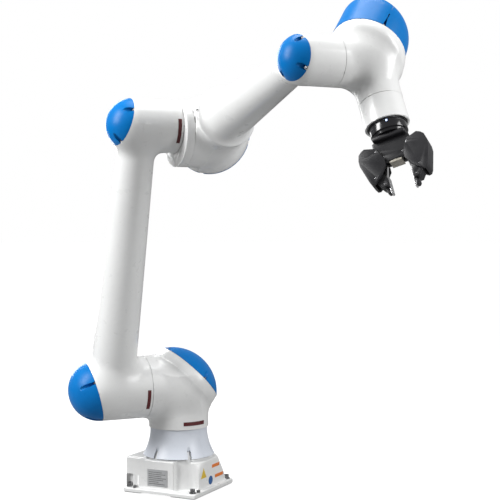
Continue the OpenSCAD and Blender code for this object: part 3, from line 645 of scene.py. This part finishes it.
def base():
    def wells(p):
        """Clear space over each bolt, and the mounting holes, up to the top of the corner pockets."""
        above_plate = PLATE_T - p[:, 2]
        out = []
        for sx in (-1, 1):
            for sy in (-1, 1):
                mount = (sx * MOUNT_AT, sy * MOUNT_AT, 0)
                out.append(np.maximum(rod(p, 2, 10.5, (sx * BOLT_AT, sy * BOLT_AT, 0)), above_plate))
                out.append(np.maximum(rod(p, 2, 12, mount), above_plate))
                out.append(rod(p, 2, 7, mount))
        out += [np.maximum(rod(p, 2, 7.5, (x, y, 0)), above_plate) for x, y in LEVELLING_AT]
        return -np.maximum(np.min(out, axis=0), p[:, 2] - POCKET_TOP)

    def hollow(p):
        return -np.minimum(rod(p, 2, 54), block(p, (-106.5, -60, 24), (-62, 50, 82), 2))

    collar = lambda p: np.maximum(neck_outside(p) + 6, span(p, 2, BASE_TOP - 6, 118))
    stub = lambda p: np.maximum(rod(p, 2, 62), span(p, 2, 110, 148))
    relief = lambda p: -block(p, (-55, -112, -10), (35, -96.5, 3), 1)
    outside = lambda p: np.minimum(base_outside(p), np.minimum(collar(p), stub(p)))
    skin("base_skin", [outside, lambda p: -p[:, 2], wells, hollow, relief],
         (-111, -111, -4), (111, 111, 151), 2.8, IN_BASE, "base", ["base_casting"], WHITE)


NECK_TURN = math.radians(74)
NECK_POCKET_ANGLES = range(18, 360, 60)


def neck_radius(z):
    """Straight neck above, flaring to the foot in one concave sweep."""
    s = np.clip((158 - z) / (158 - 92), 0, 1)
    return 75.6 + 19 * s ** 1.9


def neck_outside(p):
    return (np.hypot(p[:, 0], p[:, 1]) - neck_radius(p[:, 2])) * 0.9


def neck_pockets(p):
    out = np.full(len(p), 1e3)
    for a in NECK_POCKET_ANGLES:
        t = math.radians(a)
        q = np.stack([p[:, 0] * math.cos(t) + p[:, 1] * math.sin(t),
                      p[:, 1] * math.cos(t) - p[:, 0] * math.sin(t), p[:, 2]], 1)
        out = np.minimum(out, block(q, (81, -5, 80), (112, 5, 127), 2.5))
    return -out


def neck():
    """Two thin halves that meet in a plane through the axis, with slots for their screws."""
    bore = lambda p: -(neck_outside(p) + 4.5)
    height = lambda p: span(p, 2, BASE_TOP + 0.4, S_SEAM - 0.7)
    for name, sign in (("neck_cover_front", 1), ("neck_cover_rear", -1)):
        nx, ny = -math.sin(NECK_TURN + math.pi / 2), math.cos(NECK_TURN + math.pi / 2)
        half = lambda p, s=sign: 0.25 - s * -(p[:, 0] * nx + p[:, 1] * ny)
        skin(name + "_skin", [neck_outside, height, bore, half, neck_pockets],
             (-99, -99, BASE_TOP - 3), (99, 99, S_SEAM + 2), 1.8, IN_BASE, "base", [name],
             NECK)


lower_arm()
shoulder()
elbow()
forearm()
wrist()
tool_cover()
caps()
hood()
base()
neck()


# ---------- solid pieces with bevelled edges ----------
def disc(x, y, r, steps=32):
    return [(x + r * math.cos(t), y + r * math.sin(t)) for t in np.linspace(0, 2 * math.pi, steps + 1)[:-1]]


def prism(name, outline, low, high, place, bevel, body, nodes, material, holes=(), hollows=()):
    """An outline in local x, y drawn out along z, with rounded edges, round holes and hollows."""
    def solid(points, z0, z1):
        bm = bmesh.new()
        face = bm.faces.new([bm.verts.new((x, y, z0)) for x, y in points])
        out = bmesh.ops.extrude_face_region(bm, geom=[face])
        for v in out["geom"]:
            if isinstance(v, bmesh.types.BMVert):
                v.co.z = z1
        bmesh.ops.recalc_face_normals(bm, faces=bm.faces)
        return bm

    def as_object(bm, label):
        mesh = bpy.data.meshes.new(label)
        bm.to_mesh(mesh)
        bm.free()
        obj = bpy.data.objects.new(label, mesh)
        bpy.context.collection.objects.link(obj)
        return obj

    obj = as_object(solid(outline, low, high), name)
    cutters = [as_object(solid(disc(x, y, r), low - 5, high + 5), "cutter") for x, y, r in holes]
    for shape, z0, z1 in hollows:
        cutters.append(as_object(solid(shape, z0, z1), "cutter"))
    for cutter in cutters:
        m = obj.modifiers.new("cut", "BOOLEAN")
        m.object, m.solver = cutter, "EXACT"
    round_edges = obj.modifiers.new("round", "BEVEL")
    round_edges.width, round_edges.segments, round_edges.limit_method = bevel, 3, "ANGLE"
    round_edges.angle_limit = math.radians(28)
    deps = bpy.context.evaluated_depsgraph_get()
    mesh = bpy.data.meshes.new_from_object(obj.evaluated_get(deps))
    obj.modifiers.clear()
    obj.data = mesh
    mesh.transform(place)
    mesh.shade_smooth()
    mesh.set_sharp_from_angle(angle=math.radians(40))
    for cutter in cutters:
        bpy.data.objects.remove(cutter)
    return register(obj, body, nodes, material)


def turned(name, profile, place, body, slot, nodes, material, steps=96):
    """A profile of (along, radius) points turned about local x."""
    bm = bmesh.new()
    rings = []
    for x, r in profile:
        rings.append([bm.verts.new((x, r * math.cos(t), r * math.sin(t)))
                      for t in np.linspace(0, 2 * math.pi, steps + 1)[:-1]])
    for a, b in zip(rings, rings[1:]):
        for k in range(steps):
            bm.faces.new((a[k], a[(k + 1) % steps], b[(k + 1) % steps], b[k]))
    bm.faces.new(rings[0][::-1])
    bm.faces.new(rings[-1])
    bmesh.ops.recalc_face_normals(bm, faces=bm.faces)
    mesh = bpy.data.meshes.new(name)
    bm.to_mesh(mesh)
    bm.free()
    obj = bpy.data.objects.new(name, mesh)
    bpy.context.collection.objects.link(obj)
    mod = obj.modifiers.new("round", "BEVEL")
    mod.width, mod.segments, mod.limit_method, mod.angle_limit = 0.7, 3, "ANGLE", math.radians(30)
    deps = bpy.context.evaluated_depsgraph_get()
    obj.data = bpy.data.meshes.new_from_object(obj.evaluated_get(deps))
    obj.modifiers.clear()
    obj.data.transform(place)
    obj.data.shade_smooth()
    obj.data.set_sharp_from_angle(angle=math.radians(35))
    return register(obj, body, nodes, material)


def mirrored(points, s):
    return [(x, s * y) for x, y in points][::s]


FLANGE_SCREW_ANGLES = (230, 262, 294)


def flange_ring():
    """The off-centre ring that bolts the elbow to the second arm joint."""
    place = IN_ELBOW @ Matrix(((1, 0, 0, 0), (0, 0, -1, 0), (0, 1, 0, 0), (0, 0, 0, 1)))
    r = EL_FLANGE_R - RING_SCREW_IN
    turns = [math.radians(90 - a) for a in FLANGE_SCREW_ANGLES]
    centres = [(r * math.cos(t), -EL_DROP - r * math.sin(t)) for t in turns]
    sockets = [(disc(*at, 5.2), U_SEAM - 9, U_SEAM + 5) for at in centres]
    prism("elbow_flange_skin", disc(0, -EL_DROP, EL_FLANGE_R, 128), U_SEAM - 21.2, U_SEAM - HALF_GAP, place,
          0.8, "elbow", ["elbow_flange_ring"], WHITE, holes=[(0, 0, RING_BORE_R)],
          hollows=sockets)


def pin(name, at, r, half, body, nodes):
    """A steel pin along the tool's z axis."""
    prism(name, disc(*at, r), -half, half, IN_TOOL, 0.5, body, nodes, STEEL)


def gripper():
    """Adapter, body, and on each side a knuckle, a finger and its pad. Outlines are in the tool's x, y."""
    turned("gripper_adapter_skin",
           [(FLANGE_END + 0.2, 10), (FLANGE_END + 0.2, 31.9), (COVER_END + 0.6, 31.9),
            (COVER_END + 0.6, 38.9), (COVER_END + 1.3, ADAPTER_R), (COVER_END + 20, ADAPTER_R),
            (COVER_END + 20.9, ADAPTER_R - 0.8), (COVER_END + 20.9, 35), (ADAPTER_END - 0.1, 34.6)],
           IN_TOOL, "tool", "gripper_black", ["gripper_adapter"], GLOSS_BLACK)
    prism("gripper_plinth", [(180, -35), (180, 35), (190, 35), (190, -35)], -28, 28, IN_TOOL, 3.0, "tool",
          [], BLACK)
    half_body = [(181, 34), (189, 35), (191, 39), (217, 39), (221, 36), (223, 28), (226, 26.8), (235, 26.8),
                 (237, 25)]
    body_outline = half_body + [(x, -y) for x, y in half_body[::-1]]
    slot = [(220.6, 14.5), (256, 14.5), (256, 29.9), (220.6, 29.9)]
    holes = [(x, s * y, PIN_R + PIN_FIT) for x, y in (KNUCKLE_PIN, LINK_PIN) for s in (-1, 1)]
    prism("gripper_body_skin", body_outline, -BODY_HALF, BODY_HALF, IN_TOOL, 1.5, "tool",
          ["gripper_body"], BLACK, holes=holes,
          hollows=[(mirrored(slot, s), -LINK_SLOT_HALF, LINK_SLOT_HALF) for s in (-1, 1)])
    prism("palm_plate_skin", [(237.1, -13.5), (237.1, 13.5), (242, 13.5), (242, -13.5)], -15, 15, IN_TOOL,
          0.8, "tool", ["palm_plate"], PALM)
    wing = [(198, 56), (202, 64), (208, 70), (220, 73), (232, 73), (272, 62), (279, 58), (280, 52), (270, 38),
            (246, 21), (236, 20.5), (226, 23), (205, 34)]
    wing_hollow = [(180, 0), (180, 38), (196, 48), (211, 65), (231, 67.5), (300, 48.5), (300, 0)]
    clevis = [(257, 42), (257, 51), (260, 53), (272, 52), (289, 40), (289, 27.2), (266, 27.2)]
    clevis_slot = [(240, 10), (240, 47), (264, 42.5), (287, 39.5), (287, 10)]
    blade = [(287.4, 27.3), (287.4, 35.1), (299, 35.1), (303, 32), (303, 27.3)]
    pad = [(268.2, 23), (268.2, 27), (304.5, 27), (304.5, 24.2), (303.3, 23)]
    for side, s in (("left", -1), ("right", 1)):
        knuckle_at, link_at = (KNUCKLE_PIN[0], s * KNUCKLE_PIN[1]), (LINK_PIN[0], s * LINK_PIN[1])
        finger_at, lower_at = (FINGER_PIN[0], s * FINGER_PIN[1]), (LINK_END[0], s * LINK_END[1])
        knuckle, finger = side + "_knuckle_body", side + "_finger_body"
        pin(side + "_knuckle_pin", knuckle_at, PIN_R, KNUCKLE_HALF, "tool", ["gripper_pins"])
        pin(side + "_link_pin", link_at, PIN_R, 16.6, "tool", ["gripper_pins"])
        prism(side + "_knuckle_skin", mirrored(wing, s), -KNUCKLE_HALF, KNUCKLE_HALF, IN_TOOL, 2.0, knuckle,
              [side + "_knuckle"], BLACK,
              holes=[(*knuckle_at, PIN_R + PIN_FIT), (*finger_at, FINGER_PIN_R + PIN_FIT)],
              hollows=[(mirrored(wing_hollow, s), -CHEEK_INNER, CHEEK_INNER)])
        prism(side + "_finger_clevis", mirrored(clevis, s), -BODY_HALF, BODY_HALF, IN_TOOL, 1.0, finger,
              [side + "_finger"], BLACK,
              holes=[(*finger_at, FINGER_PIN_R + PIN_FIT), (*lower_at, LOWER_PIN_R + PIN_FIT)],
              hollows=[(mirrored(clevis_slot, s), -LINK_SLOT_HALF, LINK_SLOT_HALF)])
        prism(side + "_finger_blade", mirrored(blade, s), -BLADE_HALF, BLADE_HALF, IN_TOOL, 1.0, finger,
              [side + "_finger"], BLACK)
        pin(side + "_finger_pin", finger_at, FINGER_PIN_R, KNUCKLE_HALF, finger, [side + "_finger"])
        pin(side + "_lower_pin", lower_at, LOWER_PIN_R, 16, finger, [side + "_finger"])
        prism(side + "_pad_skin", mirrored(pad, s), -BLADE_HALF, BLADE_HALF, IN_TOOL, 0.6, finger,
              [side + "_pad"], POLISHED)


# ---------- strips laid on the skins ----------
def strip(name, outside, radius, turn, heights, low_turn, high_turn, place, body, nodes, thick=0.5):
    """A thin strip round a joint's neck, laid on the field's surface."""
    turns = np.radians(np.linspace(low_turn, high_turn, int((high_turn - low_turn) / 2) + 1))
    levels = np.linspace(*heights, 7)
    a, h = np.meshgrid(turns, levels, indexing="ij")
    ways, across = turn(a.ravel())

    def laid(rise):
        r = np.full(a.size, float(radius))
        for _ in range(12):
            r += rise - outside(ways * r[:, None] + across * h.ravel()[:, None])
        return ways * r[:, None] + across * h.ravel()[:, None]

    top, under = laid(thick), laid(-0.6)
    rows, cols = a.shape
    quads = []
    for layer, flip in ((0, False), (a.size, True)):
        for i in range(rows - 1):
            for k in range(cols - 1):
                q = [i * cols + k, (i + 1) * cols + k, (i + 1) * cols + k + 1, i * cols + k + 1]
                quads.append([layer + v for v in (q[::-1] if flip else q)])
    edge = [i * cols for i in range(rows)] + [(rows - 1) * cols + k for k in range(1, cols)]
    edge += [i * cols + cols - 1 for i in range(rows - 2, -1, -1)] + list(range(cols - 2, 0, -1))
    for i, v in enumerate(edge):
        w = edge[(i + 1) % len(edge)]
        quads.append([v, v + a.size, w + a.size, w])
    m = np.array(place)
    points = np.concatenate([top, under]) @ m[:3, :3].T + m[:3, 3]
    mesh = bpy.data.meshes.new(name)
    mesh.from_pydata(points.tolist(), [], quads)
    bm = bmesh.new()
    bm.from_mesh(mesh)
    bmesh.ops.recalc_face_normals(bm, faces=bm.faces)
    bm.to_mesh(mesh)
    bm.free()
    mesh.shade_smooth()
    mesh.set_sharp_from_angle(angle=math.radians(40))
    obj = bpy.data.objects.new(name, mesh)
    bpy.context.collection.objects.link(obj)
    return register(obj, body, nodes, RED)


def strips():
    def about_z(a):
        return np.stack([np.cos(a), np.sin(a), np.zeros(len(a))], 1), np.tile([0.0, 0, 1], (len(a), 1))

    def about_y(a):
        return np.stack([np.cos(a), np.zeros(len(a)), np.sin(a)], 1), np.tile([0.0, 1, 0], (len(a), 1))

    top = np.array([0, 0, LOWER_LEN])
    strip("shoulder_strip_skin", shoulder_outside, S_R + 2, about_z, (-98.5, -88.5), -12, 35,
          IN_SHOULDER, "shoulder", ["shoulder_stripe"])
    strip("lower_arm_l_strip_skin", arm_outside, L_R, about_y, (-L_SEAM - 15, -L_SEAM - 6), -18, 20,
          IN_LOWER, "lower_arm", ["lower_arm_stripes"])
    strip("lower_arm_u_strip_skin", lambda p: arm_outside(p + top), U_R, about_y, (-U_SEAM - 15, -U_SEAM - 6),
          -24, 30, IN_LOWER_TOP, "lower_arm", ["lower_arm_stripes"])


LABEL_BARS = ((8, 59, 49, 67.5), (24, 30, 70, 38.5))
LABEL_TRIANGLE, LABEL_DISC = ((-53, 41), (-23, 41), (-38, 67)), (0, 28.5, 11.5)
RULE_WIDTHS = (48, 30, 44, 52, 38, 50, 40)


def labels():
    """Plain rules on the nameplate, and plain coloured patches where the foot carries its labels."""
    face = IN_BASE @ Matrix(((0, 0, 1, 0), (1, 0, 0, 0), (0, 1, 0, 0), (0, 0, 0, 1)))
    front = IN_BASE @ Matrix(((1, 0, 0, 0), (0, 0, -1, 0), (0, 1, 0, 0), (0, 0, 0, 1)))

    def patch(name, outline, place, at, material):
        prism(name, outline, at - 0.4, at + 0.25, place, 0.08, "base", [], material)

    def bar(x0, y0, x1, y1):
        return [(x0, y0), (x1, y0), (x1, y1), (x0, y1)]

    for k, corners in enumerate(LABEL_BARS):
        patch(f"foot_label_bar_{k + 1}", bar(*corners), face, SIDE_FACE, ORANGE)
    patch("foot_label_triangle", LABEL_TRIANGLE, face, SIDE_FACE, YELLOW)
    patch("foot_label_disc", disc(*LABEL_DISC), face, SIDE_FACE, LABEL_BLUE)
    for k, (width, level) in enumerate(zip(RULE_WIDTHS, range(27, 62, 5))):
        patch(f"nameplate_rule_{k + 1}", bar(-35, level, -35 + width, level + 1.0), front, SIDE_FACE + 1.05,
              DARK)


flange_ring()
strips()
gripper()
labels()


# ---------- camera, light and floor ----------
def camera():
    cam = bpy.data.cameras.new("camera")
    cam.lens, cam.sensor_width = 78.3, 36
    obj = bpy.data.objects.new("camera", cam)
    bpy.context.collection.objects.link(obj)
    right, up = Vector((0.89743, 0.44113, -0.00241)), Vector((-0.00481, 0.01522, 0.99987))
    back = right.cross(up)
    turn = Matrix((right, up, back)).transposed().to_4x4()
    obj.matrix_world = Matrix.Translation((1.449924, -2.515611, 0.679290)) @ turn
    bpy.context.scene.camera = obj


def softbox(name, place, aim, size, power, shape="RECTANGLE"):
    light = bpy.data.lights.new(name, "AREA")
    light.shape, light.size, light.size_y, light.energy = shape, size[0], size[1], power
    obj = bpy.data.objects.new(name, light)
    bpy.context.collection.objects.link(obj)
    obj.location = place
    obj.rotation_mode = "QUATERNION"
    obj.rotation_quaternion = (Vector(aim) - Vector(place)).to_track_quat("-Z", "Y")


def studio():
    bpy.context.scene.view_settings.view_transform = "Standard"
    world = bpy.data.worlds.new("studio")
    bpy.context.scene.world = world
    world.use_nodes = True
    nodes, links = world.node_tree.nodes, world.node_tree.links
    room = nodes["Background"]
    room.inputs["Color"].default_value = (1, 1, 1, 1)
    room.inputs["Strength"].default_value = 0.31
    seen = nodes.new("ShaderNodeBackground")
    seen.inputs["Color"].default_value = (1, 1, 1, 1)
    seen.inputs["Strength"].default_value = 1.0
    path, mix = nodes.new("ShaderNodeLightPath"), nodes.new("ShaderNodeMixShader")
    links.new(path.outputs["Is Camera Ray"], mix.inputs[0])
    links.new(room.outputs[0], mix.inputs[1])
    links.new(seen.outputs[0], mix.inputs[2])
    links.new(mix.outputs[0], nodes["World Output"].inputs["Surface"])
    softbox("key_left", (-1.4, -2.0, 2.0), (0.2, -0.2, 0.7), (1.0, 1.8), 98)
    softbox("edge_right", (2.3, -0.2, 1.3), (0.3, -0.2, 0.7), (0.7, 1.8), 30)
    softbox("top", (0.3, 0.0, 2.9), (0.3, -0.2, 0.6), (1.6, 1.2), 40)
    softbox("back_left", (-1.6, 1.2, 1.2), (0.2, -0.2, 0.6), (0.8, 1.8), 30)


def floor():
    mesh = bpy.data.meshes.new("studio_floor")
    far = 60.0
    corners = [(x * far, y * far, -0.0015) for x, y in ((-1, -1), (1, -1), (1, 1), (-1, 1))]
    mesh.from_pydata(corners, [], [(0, 1, 2, 3)])
    obj = bpy.data.objects.new("studio_floor", mesh)
    bpy.context.collection.objects.link(obj)
    n = Nodes("studio_floor")
    n.set(Roughness=0.9)
    n.surface.inputs["Base Color"].default_value = (0.2, 0.2, 0.2, 1)
    n.surface.inputs["Emission Color"].default_value = (1, 1, 1, 1)
    glow = n.add("ShaderNodeMath", operation="MULTIPLY")
    glow.inputs[1].default_value = 0.93
    n.link(n.add("ShaderNodeLightPath").outputs["Is Camera Ray"], glow.inputs[0])
    n.link(glow.outputs[0], n.surface.inputs["Emission Strength"])
    mesh.materials.append(n.mat)


camera()
studio()
floor()
